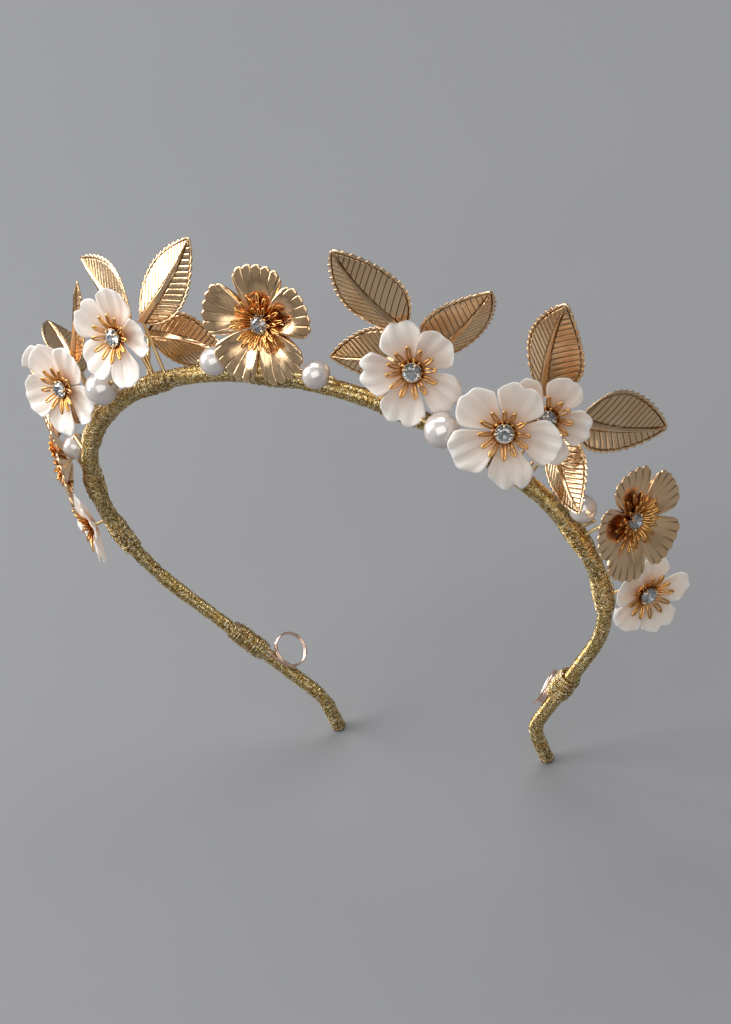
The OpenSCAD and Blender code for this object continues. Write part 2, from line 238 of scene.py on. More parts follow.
def lathe(profile, steps):
    """A closed solid turned about Z from (radius, height) points that form a loop."""
    profile = np.asarray(profile, float)
    a = np.arange(steps) * 2 * pi / steps
    points = np.stack([np.outer(np.cos(a), profile[:, 0]), np.outer(np.sin(a), profile[:, 0]),
                       np.broadcast_to(profile[:, 1], (steps, len(profile)))], -1).reshape(-1, 3)
    n = len(profile)
    faces = [(i * n + j, (i + 1) % steps * n + j, (i + 1) % steps * n + (j + 1) % n, i * n + (j + 1) % n)
             for i in range(steps) for j in range(n)]
    return points, faces


def seeded(name):
    """A random generator that depends on the name alone."""
    return np.random.default_rng(sum((i + 1) * ord(c) for i, c in enumerate(name)))


def bell(x, width):
    """1 at 0, falling off smoothly on both sides."""
    return np.exp(-(x / width) ** 2)


# ---------------------------------------------------------------- materials

class Look:
    """A procedural material built up node by node, in object coordinates."""

    def __init__(self, name, **sockets):
        self.material = bpy.data.materials.new(name)
        self.material.use_nodes = True
        self.tree = self.material.node_tree
        self.shader = self.tree.nodes["Principled BSDF"]
        self.set(self.shader, **sockets)
        self.coord = self.node("ShaderNodeTexCoord").outputs["Object"]
        self.normal = None

    def set(self, node, **sockets):
        for key, value in sockets.items():
            key = key.replace("_", " ")
            if isinstance(value, bpy.types.NodeSocket):
                self.tree.links.new(value, node.inputs[key])
            else:
                node.inputs[key].default_value = value

    def node(self, kind, **sockets):
        node = self.tree.nodes.new(kind)
        self.set(node, **sockets)
        return node

    def noise(self, scale, detail=3.0, stretch=None, rough=0.55):
        where = self.coord
        if stretch:
            where = self.node("ShaderNodeMapping", Vector=self.coord, Scale=stretch).outputs[0]
        node = self.node("ShaderNodeTexNoise", Vector=where, Scale=scale, Detail=detail, Roughness=rough)
        return node.outputs[0]

    def cells(self, scale):
        """Three unrelated numbers for each small cell."""
        colour = self.node("ShaderNodeTexVoronoi", Vector=self.coord, Scale=scale).outputs["Color"]
        return self.node("ShaderNodeSeparateColor", Color=colour).outputs

    def value(self, key):
        """A float attribute of the mesh."""
        node = self.node("ShaderNodeAttribute")
        node.attribute_name = key
        return node.outputs["Fac"]

    def ramp(self, source, *stops):
        node = self.node("ShaderNodeValToRGB", Fac=source)
        elements = node.color_ramp.elements
        while len(elements) < len(stops):
            elements.new(0.5)
        for element, (place, colour) in zip(elements, stops):
            element.position = place
            element.color = (*colour, 1.0)
        return node.outputs[0]

    def grey(self, source, low, high, start=0.0, end=1.0):
        """A number from start to end taken to one from low to high."""
        node = self.node("ShaderNodeMapRange")
        node.inputs["Value"].default_value = 0.0
        self.tree.links.new(source, node.inputs["Value"])
        node.inputs["From Min"].default_value = start
        node.inputs["From Max"].default_value = end
        node.inputs["To Min"].default_value = low
        node.inputs["To Max"].default_value = high
        return node.outputs[0]

    def mix(self, factor, a, b, blend="MIX"):
        node = self.node("ShaderNodeMix")
        node.data_type = "RGBA"
        node.blend_type = blend
        for index, value in ((0, factor), (6, a), (7, b)):
            if isinstance(value, bpy.types.NodeSocket):
                self.tree.links.new(value, node.inputs[index])
            else:
                node.inputs[index].default_value = (*value, 1.0) if isinstance(value, tuple) else value
        return node.outputs[2]

    def math(self, operation, a, b=0.0):
        node = self.node("ShaderNodeMath")
        node.operation = operation
        for index, value in ((0, a), (1, b)):
            if isinstance(value, bpy.types.NodeSocket):
                self.tree.links.new(value, node.inputs[index])
            else:
                node.inputs[index].default_value = value
        return node.outputs[0]

    def lines(self, place, width):
        """1 on each whole number of a value, falling to 0 within a width of it."""
        wave = self.math("PINGPONG", place, 0.5)
        return self.grey(wave, 1.0, 0.0, width * 0.35, width)

    def bump(self, height, strength, distance):
        """Relief on top of what was added before. distance is in metres, and negative for a sunken line."""
        node = self.node("ShaderNodeBump", Height=height, Strength=strength, Distance=distance)
        if self.normal is not None:
            self.tree.links.new(self.normal, node.inputs["Normal"])
        self.normal = node.outputs[0]
        self.tree.links.new(self.normal, self.shader.inputs["Normal"])

    def shade(self, **sockets):
        self.set(self.shader, **sockets)
        return self.material


def gold_metal(name, dark, mid, light, rough, engraved=None):
    """Satin gold alloy: colour drifts, painted shade darkens the grooves, and fine brushing breaks the shine.

    engraved is the width of the cut lines, the strength of the painted shade in the hairlines between them,
    and their depth."""
    look = Look(name, Metallic=1.0)
    colour = look.ramp(look.noise(120, 4), (0.3, mid), (0.72, light))
    groove = look.value("groove")
    if engraved:
        width, hairlines, depth = engraved
        line, inside = look.value("line"), look.value("inside")
        cut = look.math("MULTIPLY", look.lines(line, width), inside)
        groove = look.math("MAXIMUM", groove, cut)
        look.bump(groove, 1.0, -depth)
        # The hairlines are painted shade alone: they darken the colour and have no relief.
        hairline_shade = look.math("MULTIPLY", look.lines(look.math("MULTIPLY", line, 4.0), 0.24), inside)
        groove = look.math("MAXIMUM", groove, look.math("MULTIPLY", hairline_shade, hairlines))
    # Painted shade: grooves, cut lines and hairlines are darkened towards the dark colour.
    colour = look.mix(look.grey(groove, 0.0, 0.9), colour, dark)
    fine = look.noise(900, 5, (1, 1, 0.25))
    look.bump(fine, 0.22, 0.00004)
    return look.shade(Base_Color=colour, Roughness=look.grey(fine, rough[0], rough[1], 0.3, 0.7))


def petal_material():
    """Cream petals: darker and warmer towards the claw, faint veins, clouding and a fine grain."""
    look = Look("cream_petal", Roughness=0.34, Subsurface_Weight=0.6, Subsurface_Scale=0.0014,
                Subsurface_Radius=(1.0, 0.8, 0.68), Coat_Weight=0.08, Coat_Roughness=0.25, IOR=1.42)
    warm = look.ramp(look.value("outward"), (0.0, (0.70, 0.38, 0.20)), (0.2, (0.86, 0.62, 0.48)),
                     (0.45, (0.92, 0.76, 0.67)), (0.8, (0.94, 0.83, 0.75)), (1.0, (0.96, 0.88, 0.81)))
    cloud = look.ramp(look.noise(230, 4), (0.3, (0.94, 0.90, 0.88)), (0.7, (1.0, 1.0, 1.0)))
    fibre = look.noise(9, 3, None, 0.6)
    veins = look.lines(look.math("ADD", look.math("MULTIPLY", look.value("across"), 4.5), fibre), 0.3)
    clouded = look.mix(1.0, warm, cloud, "MULTIPLY")
    tint = look.mix(look.math("MULTIPLY", veins, 0.06), clouded, (0.72, 0.58, 0.46))
    look.bump(veins, 0.2, -0.0001)
    look.bump(look.noise(500, 4), 0.2, 0.0001)
    look.bump(look.noise(2600, 2), 0.12, 0.00003)
    return look.shade(Base_Color=tint)


def pearl_material():
    """Pearl: a lustrous body with painted shade towards its outline, under a clear coat."""
    look = Look("pearl_lustre", Roughness=0.20, Metallic=0.35, Coat_Weight=1.0, Coat_Roughness=0.04,
                Coat_IOR=1.7, Subsurface_Weight=0.12, Subsurface_Scale=0.0012,
                Subsurface_Radius=(1.0, 0.8, 0.65))
    facing = look.node("ShaderNodeLayerWeight", Blend=0.5).outputs["Facing"]
    body = look.ramp(look.noise(180, 3), (0.35, (0.78, 0.72, 0.68)), (0.65, (0.86, 0.82, 0.79)))
    # Painted shade: the colour darkens where the surface turns away from the view.
    colour = look.mix(look.grey(facing, 0.0, 0.75, 0.1, 0.9), body, (0.50, 0.40, 0.35))
    look.bump(look.noise(900, 3), 0.05, 0.00005)
    return look.shade(Base_Color=colour)


def crystal_material():
    """Clear cut glass with a trace of cool and warm."""
    look = Look("cut_crystal", Metallic=0.25, Roughness=0.02, IOR=1.75,
                Transmission_Weight=1.0, Specular_IOR_Level=0.8)
    tint = look.ramp(look.noise(700, 2), (0.35, (0.86, 0.90, 0.98)), (0.65, (1.0, 1.0, 0.98)))
    look.bump(look.noise(1500, 2), 0.05, 0.00004)
    return look.shade(Base_Color=tint)


def foil_material():
    """The silvered back of a crystal, in patches painted from near black to white: painted shade and painted
    glints.
    """
    look = Look("silver_foil", Metallic=0.2, Roughness=0.2)
    patch = look.cells(1500)
    # Painted shade and painted glints: each patch takes a random colour from near black to white.
    colour = look.ramp(patch[0], (0.12, (0.10, 0.105, 0.12)), (0.3, (0.80, 0.82, 0.86)),
                       (0.5, (1.0, 1.0, 1.0)))
    look.bump(patch[1], 0.8, 0.0002)
    return look.shade(Base_Color=colour)


def thread_material(name, dark, mid, light, sparkle):
    """Fine metallic thread: ridges from the mesh with painted shade between them, flakes that each face their
    own way, and random flake colours from painted shade to painted glint.
    """
    look = Look(name, Metallic=1.0)
    flake, grain = look.cells(2800), look.cells(6400)
    # Each flake takes a random colour from the dark one to the painted glint colour: painted shade and painted
    # glints.
    colour = look.ramp(flake[0], (0.12, dark), (0.40, mid), (0.7, light), (0.9, sparkle))
    # Painted shade in the valleys between the ridges of the thread.
    colour = look.mix(look.grey(look.value("groove"), 0.0, 0.85), colour, dark)
    colour = look.mix(look.grey(look.noise(150, 4), 0.0, 0.4, 0.35, 0.7), colour, mid)
    look.bump(flake[1], 1.0, 0.00045)
    look.bump(grain[1], 0.7, 0.00015)
    return look.shade(Base_Color=colour, Roughness=look.grey(flake[2], 0.10, 0.34))


def steel_material():
    """Drawn steel wire with fine lengthways scratches."""
    look = Look("core_steel", Metallic=1.0)
    fine = look.noise(1200, 4, (1, 1, 0.2))
    look.bump(fine, 0.3, 0.00005)
    colour = look.ramp(fine, (0.3, (0.42, 0.42, 0.44)), (0.7, (0.66, 0.66, 0.68)))
    return look.shade(Base_Color=colour, Roughness=look.grey(fine, 0.25, 0.45))


# The first colour of each gold is the painted shade put into its grooves and lines.
LEAF_GOLD = gold_metal("leaf_gold", (0.07, 0.035, 0.012), (0.90, 0.59, 0.32), (1.0, 0.73, 0.46),
                       (0.14, 0.25), engraved=(0.075, 0.16, 0.00026))
PETAL_GOLD = gold_metal("petal_gold", (0.10, 0.05, 0.018), (0.96, 0.62, 0.34), (1.0, 0.72, 0.44),
                        (0.15, 0.27), engraved=(0.04, 0.3, 0.00008))
STAMEN_GOLD = gold_metal("stamen_gold", (0.34, 0.12, 0.02), (0.84, 0.42, 0.12), (0.97, 0.60, 0.22),
                         (0.14, 0.26))
SETTING_GOLD = gold_metal("setting_gold", (0.25, 0.15, 0.07), (0.74, 0.58, 0.38), (0.90, 0.78, 0.58),
                          (0.10, 0.22))
WIRE_GOLD = gold_metal("wire_gold", (0.2, 0.12, 0.05), (0.62, 0.44, 0.20), (0.80, 0.60, 0.32), (0.20, 0.38))
BLUSH_GOLD = gold_metal("blush_gold", (0.35, 0.2, 0.15), (0.80, 0.56, 0.46), (0.93, 0.74, 0.65), (0.12, 0.24))
CREAM = petal_material()
PEARL = pearl_material()
CRYSTAL = crystal_material()
FOIL = foil_material()
# The first colour of each thread is its painted shade, and the last its painted glint.
THREAD = thread_material("crown_thread", (0.16, 0.09, 0.02), (0.60, 0.39, 0.12), (0.96, 0.73, 0.32),
                         (1.0, 0.95, 0.70))
BINDING = thread_material("binding_thread", (0.17, 0.10, 0.03), (0.62, 0.41, 0.14), (0.96, 0.74, 0.35),
                          (1.0, 0.95, 0.74))
STEEL = steel_material()


# ---------------------------------------------------------------- the band's line

# The band of part.scad: radii and lengths in mm, and angles in degrees from straight up.
CROWN_R, CROWN_A = 78.0, 40.0
SHOULDER_R, SHOULDER_A = 48.0, 88.0
LEG, FLARE_R, TIP = 40.0, 12.0, 8.0
CROWN_WRAP_R, LEG_WRAP_R = 2.0, 1.7
WRAP_END = 104.0
SHOULDER_END = CROWN_A + SHOULDER_A
FLARE_A = SHOULDER_END - 90
top_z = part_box("crown_wrap")[1].z / MM - CROWN_WRAP_R
crown_c = np.array([0, 0, top_z - CROWN_R])
shoulder_c = crown_c + (CROWN_R - SHOULDER_R) * np.array([sin(radians(CROWN_A)), 0, cos(radians(CROWN_A))])


def radial(t):
    """The direction at an angle from straight up, in the band's plane."""
    return np.array([sin(radians(t)), 0.0, cos(radians(t))])


leg_dir = np.array([cos(radians(SHOULDER_END)), 0, -sin(radians(SHOULDER_END))])
leg_in = -radial(SHOULDER_END)
leg_top = shoulder_c + SHOULDER_R * radial(SHOULDER_END)
flare_c = leg_top + LEG * leg_dir - FLARE_R * leg_in
arc_lengths = np.cumsum([CROWN_R * radians(CROWN_A), SHOULDER_R * radians(SHOULDER_A), LEG,
                         FLARE_R * radians(FLARE_A), TIP])


def band_at(length):
    """Point and outward direction on the right half, at a length from the crown."""
    if length < arc_lengths[0]:
        t = length / CROWN_R * 180 / pi
        return crown_c + CROWN_R * radial(t), radial(t)
    if length < arc_lengths[1]:
        t = CROWN_A + (length - arc_lengths[0]) / SHOULDER_R * 180 / pi
        return shoulder_c + SHOULDER_R * radial(t), radial(t)
    if length < arc_lengths[2]:
        return leg_top + (length - arc_lengths[1]) * leg_dir, -leg_in
    if length < arc_lengths[3]:
        t = SHOULDER_END - (length - arc_lengths[2]) / FLARE_R * 180 / pi
        return flare_c - FLARE_R * radial(t), radial(t)
    end = flare_c - FLARE_R * radial(90)
    return end - (length - arc_lengths[3]) * UP, radial(90)


def band_line(lengths):
    """Points and outward directions for lengths from the crown, negative on the left."""
    points, outs = [], []
    for s in lengths:
        p, o = band_at(abs(s))
        side = np.array([-1.0 if s < 0 else 1.0, 1, 1])
        points.append(p * side)
        outs.append(o * side)
    return np.array(points), np.array(outs)


def length_at(point):
    """The length along the band nearest to a point."""
    lengths = np.arange(-arc_lengths[4], arc_lengths[4], 0.25)
    return lengths[np.argmin(np.linalg.norm(band_line(lengths)[0] - point, axis=1))]


wrap_length = arc_lengths[0] + SHOULDER_R * radians(WRAP_END - CROWN_A)
POINTS_PER_TURN = 5
END_ROUND = 0.5


def wrapped(name, start, end, base_r, pitch, lumps, replaces, slot, sides=30, round_ends=True):
    """Thread wound tightly round the band: a ridged tube whose ridges climb with each turn.

    lumps are (length, height, width) of swellings under the thread."""
    rng = seeded(name)
    count = int((end - start) / pitch * POINTS_PER_TURN)
    lengths = np.linspace(start, end, count)
    points, outs = band_line(lengths)
    angle = np.arange(sides) * 2 * pi / sides
    drift = np.cumsum(rng.normal(0, 0.05, count))
    drift -= np.linspace(0, drift[-1], count)
    phase = (lengths / pitch + drift * 0.4)[:, None] + angle[None, :] / (2 * pi)
    ridge = np.abs(np.sin(pi * phase))
    slow = np.interp(lengths, np.linspace(start, end, 60), rng.normal(0, 0.05, 60))
    swell = sum(h * bell(lengths - at, w) for at, h, w in lumps)
    blob = np.interp(lengths, np.linspace(start, end, 260), rng.normal(0, 1, 260))
    around = np.cos(angle[None, :] + np.cumsum(rng.normal(0, 0.12, count))[:, None])
    radius = base_r - 0.1 + 0.12 * ridge + (slow + swell + 0.035 * blob)[:, None]
    radius = radius + (0.03 + 0.25 * swell)[:, None] * around
    if round_ends:
        from_end = np.minimum(lengths - start, end - lengths)
        radius *= np.sqrt(np.clip(1 - (1 - from_end / END_ROUND).clip(0) ** 2, 0.05, 1))[:, None]
    ring = np.cos(angle)[None, :, None] * outs[:, None, :] + np.sin(angle)[None, :, None] * BACK
    verts = (points[:, None, :] + radius[:, :, None] * ring).reshape(-1, 3)
    faces = [(i + k, i + (k + 1) % sides, i + sides + (k + 1) % sides, i + sides + k)
             for i in range(0, (count - 1) * sides, sides) for k in range(sides)]
    faces.append(tuple(range(sides - 1, -1, -1)))
    faces.append(tuple((count - 1) * sides + k for k in range(sides)))
    # The valleys between the turns are marked for painted shade.
    mesh_piece(name, verts, faces, THREAD, slot, replaces=replaces,
               values={"groove": bell(ridge, 0.35).reshape(-1)})


def coil(build, start, end, radius, turns, thread_r, rng, shift=0.0, squeeze=None):
    """One layer of thread wound round the band between two lengths.

    squeeze takes the angle round the band and says how much farther out the thread lies."""
    steps = int(turns * 22)
    t = np.linspace(0, 1, steps)
    lengths = start + (end - start) * t + 0.10 * np.interp(t, np.linspace(0, 1, 24), rng.normal(0, 1, 24))
    points, outs = band_line(lengths)
    angle = 2 * pi * turns * t + shift
    wobble = radius + 0.10 * np.interp(t, np.linspace(0, 1, 40), rng.normal(0, 1, 40))
    if squeeze is not None:
        wobble = wobble + squeeze(angle)
    ring = np.cos(angle)[:, None] * outs + np.sin(angle)[:, None] * BACK
    path = points + wobble[:, None] * ring
    verts, faces = sweep(path, thread_r, 6)
    # The whole thread is darkened evenly by the same amount.
    build.add(verts, faces, groove=0.15)


flower_places = {name: flower_place(name) for name in FLOWERS}
flower_lengths = {name: length_at(place.origin) for name, (place, _) in flower_places.items()}

flower_lumps = [(at, 0.13, 9.0) for at in flower_lengths.values()]
wrapped("crown_winding", -wrap_length, wrap_length, CROWN_WRAP_R, 0.40, flower_lumps, ["crown_wrap"],
        "crown_thread", round_ends=False)
leg_start, leg_end = wrap_length - 0.6, arc_lengths[4]
wrapped("right_leg_winding", leg_start, leg_end, LEG_WRAP_R, 0.38, [(wrap_length, 0.2, 2.5)],
        ["right_leg_wrap"], "leg_thread", 26)
wrapped("left_leg_winding", -leg_end, -leg_start, LEG_WRAP_R, 0.38, [(-wrap_length, 0.2, 2.5)],
        ["left_leg_wrap"], "leg_thread", 26)

# Layers of a flower's binding: start and end from the flower, radius, turns, thread radius, first angle.
BINDING_LAYERS = ((-5.6, 5.2, 2.12, 25, 0.14, 0.0), (3.8, -4.2, 2.26, 17, 0.14, 1.0),
                  (-2.2, 2.4, 2.38, 8, 0.13, 2.2))
for name in FLOWERS:
    rng = seeded(name)
    build = Build()
    at = flower_lengths[name]
    for start, end, radius, turns, thread_r, shift in BINDING_LAYERS:
        coil(build, at + start, at + end, radius, turns, thread_r, rng, shift)
    build.piece(name + "_binding", BINDING, "binding_thread", replaces=["stem_bindings"])


# ---------------------------------------------------------------- hairpin loops

# As in part.scad: where the loop sits along the leg and behind it, its radii, tails and pitch.
LOOP_AT, LOOP_R, LOOP_WIRE_R, LOOP_BACK = 30.0, 4.2, 0.3, 3.7
TAIL, TAIL_END, PITCH, LOW = 15.0, 3.0, 0.68, LEG_WRAP_R + LOOP_WIRE_R + 0.05
# Layers of the tail's binding: start and end along the tail, radius, turns, first angle.
TAIL_LAYERS = ((0, 10.3, 1.98, 27, 0), (9.6, 0.5, 2.2, 17, 1.1), (1.5, 8.9, 2.36, 9, 2.0))
TAIL_THREAD_R = 0.17


def over_tail(angle):
    """The binding stands out where the loop's tail lies under it, on the band's inner side."""
    return 0.62 * np.clip(-np.cos(angle), 0, 1) ** 2


def hairpin_loop(side):
    """Two turns of blush wire low on a leg, with the thread that ties their tail down."""
    turns = np.linspace(0, 4 * pi, 96)
    path = [[x, LOOP_BACK - LOOP_R, LOW] for x in np.linspace(-TAIL, -0.4, 24)]
    path += [[LOOP_R * sin(a), LOOP_BACK - LOOP_R * cos(a), LOW + PITCH * a / (2 * pi)] for a in turns]
    path += [[x, LOOP_BACK - LOOP_R, LOW + 2 * PITCH] for x in np.linspace(0.4, TAIL_END, 8)]
    path = np.array(path)
    at = leg_top + LOOP_AT * leg_dir
    placed = at + path[:, :1] * leg_dir + path[:, 1:2] * BACK + path[:, 2:] * leg_in
    placed[:, 0] *= side
    verts, faces = sweep(placed, LOOP_WIRE_R, 14)
    name = "right" if side > 0 else "left"
    mesh_piece(name + "_pin_loop", verts, faces, BLUSH_GOLD, "blush_wire", replaces=[name + "_hairpin_loop"],
               values={"groove": np.zeros(len(verts))})
    rng = seeded(name + "_loop")
    build = Build()
    start = arc_lengths[1] + LOOP_AT - TAIL
    for first, last, radius, layer_turns, shift in TAIL_LAYERS:
        coil(build, side * (start + first), side * (start + last), radius, layer_turns, TAIL_THREAD_R, rng,
             shift, over_tail)
    build.piece(name + "_loop_winding", BINDING, "binding_thread", replaces=[name + "_loop_binding"])


hairpin_loop(1)
hairpin_loop(-1)


# ---------------------------------------------------------------- flowers

def add_sheet(build, place, spin, x, y, z, thick, groove_under=1.0, **values):
    """A grid of points as a plate, thick above and below it, turned about Z.

    Its values are repeated underneath, where grooves and their painted shade are groove_under times as strong."""
    turn = rot((0, 0, 1), spin)
    top = np.stack([x, y, z + thick], -1).reshape(-1, 3) @ turn.T
    bottom = np.stack([x, y, z - thick], -1).reshape(-1, 3) @ turn.T
    for key, data in values.items():
        data = np.broadcast_to(data, z.shape).reshape(-1)
        values[key] = np.concatenate([data, data * (groove_under if key == "groove" else 1.0)])
    build.add(place.out(np.concatenate([top, bottom])), sheet_faces(*z.shape), **values)


def white_petal(build, place, spin, r, rng):
    """One soft petal: narrow claw, round rippled blade, thin rounded rim, often a notch.

    s runs from the claw to the rim, and v from one side to the other."""
    rows, columns = 46, 41
    s = np.linspace(0, 1, rows)[:, None]
    v = np.linspace(-1, 1, columns)[None, :]
    reach = r * rng.uniform(0.97, 1.06)
    swell = np.sin(pi / 2 * np.clip(s / 0.78, 0, 1)) ** 1.25
    half = r * rng.uniform(0.41, 0.46) * (0.13 + 0.87 * swell)
    corner = rng.uniform(0.25, 0.31) * r
    notch = rng.choice([0.0, 0.5, 1.0]) * 0.07 * r
    lean = rng.normal(0, 0.035)
    x = 1.0 + (reach - 1.0) * s - corner * np.abs(v) ** 3.2 * s ** 3.6
    x = x - notch * bell(v - 3 * lean, 0.16) * s ** 9
    x = x + 0.016 * r * np.sin(v * rng.uniform(5, 8) + rng.uniform(0, 6)) * s ** 6
    y = v * half + lean * r * s ** 2
    ripple = 0.016 * r * np.cos(v * rng.uniform(8, 11) + rng.uniform(0, 6)) * s ** 1.2
    roll = 0.05 * r * np.sin(s * rng.uniform(2.5, 4) + rng.uniform(0, 6)) * s
    cup = rng.uniform(0.06, 0.14) * r * np.abs(v) ** 2 * np.sin(pi * s ** 0.8)
    curl = rng.uniform(-0.16, 0.04) * r * s ** 5
    tilt = 0.10 * y + 0.05 * r * v * s ** 4 * rng.normal(0, 0.8)
    z = 0.17 * r * s ** 2 + 0.10 * r * s + cup + ripple + roll + curl + tilt
    edge = np.maximum(np.abs(v) ** 10 + 0 * s, s ** 16 + 0 * v)
    thick = 0.28 * np.sqrt(np.clip(1 - edge, 0.02, 1)) * (1 - 0.25 * s)
    add_sheet(build, place, spin, x, y, z, thick, outward=s, across=v)


SCALLOPS = 7


def gold_petal(build, place, spin, r, rng):
    """One stamped fan: fine radial lines, and a rim of puffed scallops parted by short grooves.

    scallop is 0 between two scallops and 1 in the middle of each."""
    rows, columns = 72, 97
    s = np.linspace(0, 1, rows)[:, None]
    v = np.linspace(-1, 1, columns)[None, :]
    wide = radians(rng.uniform(36.0, 38.0))
    scallop = np.abs(np.sin(pi / 2 * (SCALLOPS * v + 1)))
    tip = r * (1 - 0.07 * np.abs(v) ** 3 - 0.42 * np.abs(v) ** 8) * rng.uniform(0.97, 1.01)
    reach = 1.2 + (tip - 1.2) * s + 0.05 * r * (scallop ** 0.6 - 0.7) * s ** 9
    angle = wide * v * (0.55 + 0.45 * np.sin(pi / 2 * np.clip(s * 1.35, 0, 1))) * (1 - 0.03 * s ** 8)
    x, y = reach * np.cos(angle), reach * np.sin(angle)
    d = reach / r
    cup = 0.40 * r * d ** 1.5 - 0.15 * r * d ** 4.5 + 0.25 * np.sign(v) * np.abs(v) ** 3 * d
    spoon = rng.uniform(0.10, 0.16) * r * np.abs(v) ** 2.2 * np.sin(pi * s ** 0.9) - 0.02 * r * s
    fade = np.clip((s - 0.66) / 0.34, 0, 1)
    puff = 0.10 * (scallop ** 0.5 - 0.7) * fade ** 1.5
    twist = rng.normal(0, 0.035) * y + rng.normal(0, 0.03) * r * s ** 3
    edge = np.maximum(np.abs(v) ** 30 + 0 * s, s ** 60 + 0 * v)
    thick = 0.20 * np.sqrt(np.clip(1 - edge, 0.05, 1)) + 0.06 * bell(s - 0.97, 0.03)
    z = cup + spoon + puff + twist
    # Painted shade in the short grooves between the scallops, weaker underneath.
    groove = bell(scallop, 0.24) * np.clip(fade * 1.6, 0, 1) ** 0.8
    inside = 0.5 * np.sin(pi * np.clip(s * 1.02, 0, 1)) ** 0.5 * np.clip(s * 2 - 0.6, 0, 1)
    add_sheet(build, place, spin, x, y, z, thick, groove_under=0.6, line=SCALLOPS * v / 2 + 0.5,
              inside=inside, groove=groove)


# Heights over the flower in mm, and the radius of the ring that the loops grow from.
STAMEN_LIFT, CUP_LIFT, CUP_R = 1.25, 1.15, 2.75


def stamen_loop(build, place, spin, base, length, width, rise, wire_r):
    """One long narrow loop of wire that stands up and outwards."""
    t = np.linspace(0, 2 * pi, 30, endpoint=False)
    along = length / 2 * (1 - np.cos(t))
    across = width * np.sin(t) * (0.55 + 0.45 * along / length)
    bow = 0.10 * length * np.sin(pi * along / length)
    tilt = radians(rise)
    x = base + along * cos(tilt) - bow * sin(tilt)
    z = STAMEN_LIFT + along * sin(tilt) + bow * cos(tilt)
    path = np.stack([x, across, z], -1) @ rot((0, 0, 1), spin).T
    verts, faces = sweep(path, wire_r, 7, closed=True)
    # Painted shade, strongest at the foot of each loop.
    build.add(place.out(verts), faces, groove=0.25 + 0.75 * np.repeat(bell(along, length * 0.3), 7))


def stamen_cup(build, place):
    """The pressed ring that carries the loops."""
    profile = [(1.05, -0.12), (CUP_R * 0.75, -0.15), (CUP_R, -0.02), (CUP_R * 1.02, 0.1), (CUP_R * 0.8, 0.12),
               (1.05, 0.16)]
    verts, faces = lathe([(r, CUP_LIFT + z) for r, z in profile], 60)
    angle = np.arctan2(verts[:, 1], verts[:, 0])
    verts[:, 2] += 0.06 * np.cos(24 * angle) * (np.hypot(verts[:, 0], verts[:, 1]) > 1.5)
    # The cup is darkened evenly.
    build.add(place.out(verts), faces, groove=0.4)


# The crystal's radius and its setting's height over the flower, as in part.scad, and its widest line's height.
CRYSTAL_R, SEAT = 1.9, 1.35
GIRDLE = SEAT + 0.35 + 0.75


def cut_crystal():
    """A round brilliant: table, star, kite and girdle facets over a pointed pavilion."""
    bm = bmesh.new()
    # Each ring of corners: radius, height, how many, and how far they are turned, in steps.
    rings = [(1.02, GIRDLE + 0.6, 8, 0.5), (1.5, GIRDLE + 0.42, 8, 0), (CRYSTAL_R, GIRDLE + 0.06, 16, 0),
             (CRYSTAL_R, GIRDLE - 0.04, 16, 0), (0.95, GIRDLE - 0.5, 8, 0.5), (0.05, GIRDLE - 0.82, 8, 0)]
    for radius, z, count, shift in rings:
        for k in range(count):
            a = 2 * pi * (k + shift) / count
            bm.verts.new((radius * cos(a), radius * sin(a), z))
    bmesh.ops.convex_hull(bm, input=bm.verts)
    bmesh.ops.dissolve_limit(bm, angle_limit=radians(0.5), verts=bm.verts, edges=bm.edges)
    bm.verts.ensure_lookup_table()
    points = np.array([v.co[:] for v in bm.verts])
    faces = [[v.index for v in f.verts] for f in bm.faces]
    bm.free()
    return points, faces


def setting(build, place):
    """A cup with a rolled rim and four claws that close over the crystal."""
    r = CRYSTAL_R + 0.12
    profile = [(0.6, 0.02), (1.3, 0), (1.75, 0.1), (r, 0.55), (r + 0.18, 0.95), (r + 0.14, 1.05), (r, 1.02),
               (r - 0.14, 0.7), (1.5, 0.24), (0.6, 0.2)]
    verts, faces = lathe([(radius, SEAT + z) for radius, z in profile], 40)
    # The cup is darkened evenly, and the claws below are not.
    build.add(place.out(verts), faces, groove=0.25)
    for a in (45, 135, 225, 315):
        t = np.linspace(0, 1, 14)
        closing = np.clip(t - 0.72, 0, 1) / 0.28
        x = 1.5 + (r + 0.02 - 1.5) * np.sin(pi / 2 * np.clip(t * 2.2, 0, 1)) - 0.6 * closing ** 2
        z = SEAT + 0.1 + 1.62 * np.sin(pi / 2 * t)
        path = np.stack([x, 0 * x, z], -1) @ rot((0, 0, 1), a).T
        verts, faces = sweep(path, 0.30 - 0.10 * t, 10)
        build.add(place.out(verts), faces, groove=0.0)


def foil_cup(build, place):
    """The thin silvered shell behind the crystal."""
    profile = [(0.02, -0.92), (1.0, -0.58), (1.82, -0.12), (1.84, -0.17), (1.0, -0.64), (0.02, -0.98)]
    verts, faces = lathe([(r, GIRDLE + z) for r, z in profile], 24)
    build.add(place.out(verts), faces)


# Rings of stamen loops: count, distance from the middle, length, rise in degrees, turn in steps, width,
# wire radius, and the spreads of turn, shortest and longest, and rise.
GOLD_STAMENS = ((18, 2.0, 5.2, 18, 0, 0.42, 0.21, 2, 0.9, 1.08, 5),
                (16, 1.9, 4.7, 36, 0.5, 0.42, 0.21, 2, 0.9, 1.08, 5),
                (12, 1.8, 3.8, 54, 0.2, 0.42, 0.21, 2, 0.9, 1.08, 5))
WHITE_STAMENS = ((12, 1.9, 4.2, 29, 0.5, 0.48, 0.25, 1.5, 0.94, 1.06, 3),)

